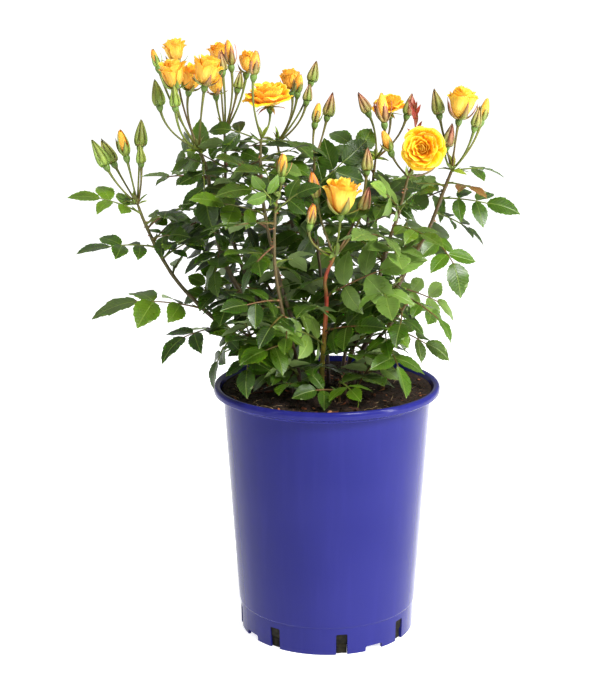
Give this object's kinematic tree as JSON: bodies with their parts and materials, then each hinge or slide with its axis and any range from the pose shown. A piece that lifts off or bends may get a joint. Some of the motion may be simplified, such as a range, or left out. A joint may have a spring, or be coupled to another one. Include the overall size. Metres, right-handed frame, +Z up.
{
  "type": "potted floribunda rose",
  "caption": "Bushy floribunda rose with yellow blooms and buds over dark pinnate leaves, standing in a round tapered plastic nursery pot.",
  "frame": {"origin": "middle of the flat foot under the pot, on the surface that the pot stands on", "axes": "+Z up along the pot's axis, -Y towards the front of the picture, +X to the picture's right"},
  "size_m": [0.4011, 0.2975, 0.5495],
  "materials": {
    "pot": "glossy deep blue-violet injection-moulded plastic",
    "soil": "matte dark peat with bark chips",
    "foliage": "semi-gloss green leaves on olive to red-brown stems",
    "petals": "soft satin yellow petals with orange folds"
  },
  "bodies": {
    "root": {"pot": "pot", "soil": "soil", "cane_back_left": "foliage", "cane_back_right": "foliage", "cane_centre_back": "foliage", "cane_far_left": "foliage", "cane_far_right": "foliage", "cane_front": "foliage", "cane_front_shoot": "foliage", "cane_left_centre": "foliage", "cane_low_centre": "foliage", "cane_low_left": "foliage", "cane_low_right": "foliage", "cane_right_centre": "foliage", "cane_right_inner": "foliage", "cane_upper_centre": "foliage", "cane_upper_left": "foliage", "cane_upper_mid": "foliage", "bud_centre_back_1": "petals", "bud_far_left_3": "petals", "bud_far_right_4": "petals", "bud_front_1": "petals", "bud_front_2": "petals", "bud_left_centre_3": "petals", "bud_low_centre_1": "petals", "bud_right_centre_3": "petals", "bud_right_inner_2": "petals", "bud_upper_centre_1": "petals", "bud_upper_left_3": "petals", "bud_upper_mid_2": "petals", "half_far_right_2": "petals", "half_front_3": "petals", "half_left_centre_1": "petals", "half_left_centre_2": "petals", "half_left_centre_6": "petals", "half_upper_left_4": "petals", "half_upper_left_5": "petals", "half_upper_left_6": "petals", "half_upper_left_7": "petals", "half_upper_mid_1": "petals", "open_right_centre_2": "petals", "open_right_inner_1": "petals", "open_upper_centre_2": "petals"}
  },
  "joints": []
}
